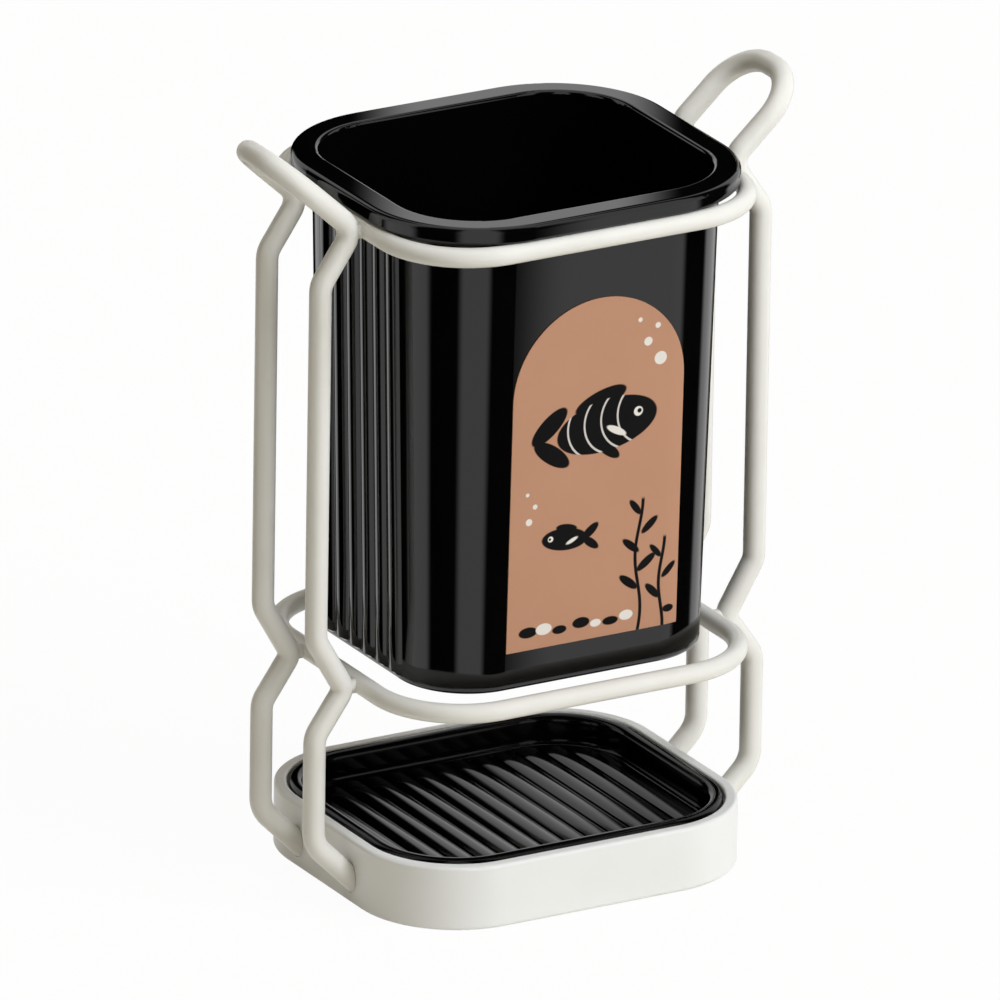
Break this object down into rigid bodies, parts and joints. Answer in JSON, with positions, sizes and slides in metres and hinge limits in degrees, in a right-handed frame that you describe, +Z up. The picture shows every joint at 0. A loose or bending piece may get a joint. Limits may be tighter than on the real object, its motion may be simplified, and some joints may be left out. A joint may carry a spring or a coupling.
{
  "type": "cutlery holder",
  "caption": "Table-top cutlery holder: a drafted cup hung by its flange in a bent-wire stand with loop handles, over a base with a lift-out ridged drip tray.",
  "frame": {"origin": "middle of the base's underside, on the surface the holder stands on", "axes": "+Z up, -Y towards the front with the printed film, +X towards the right handle"},
  "size_m": [0.1486, 0.0932, 0.1955],
  "materials": {
    "cream_plastic": "satin moulded cream plastic",
    "cream_wire": "cream powder coat on steel wire",
    "black_plastic": "glossy black moulded plastic",
    "printed_film": "thin film with a peach print"
  },
  "bodies": {
    "stand": {"base": "cream_plastic", "lower_ring": "cream_wire", "upper_ring": "cream_wire", "left_side_wire": "cream_wire", "right_side_wire": "cream_wire", "weld_beads": "cream_wire"},
    "cup": {"cup": "black_plastic", "front_label": "printed_film"},
    "drip_tray": {"drip_tray": "black_plastic"}
  },
  "joints": [
    {"name": "cup_lift", "type": "slide", "parent": "stand", "child": "cup", "axis": [0, 0, 1], "range_m": [0, 0.13]},
    {"name": "drip_tray_lift", "type": "slide", "parent": "stand", "child": "drip_tray", "axis": [0, 0, 1], "range_m": [0, 0.034]}
  ]
}
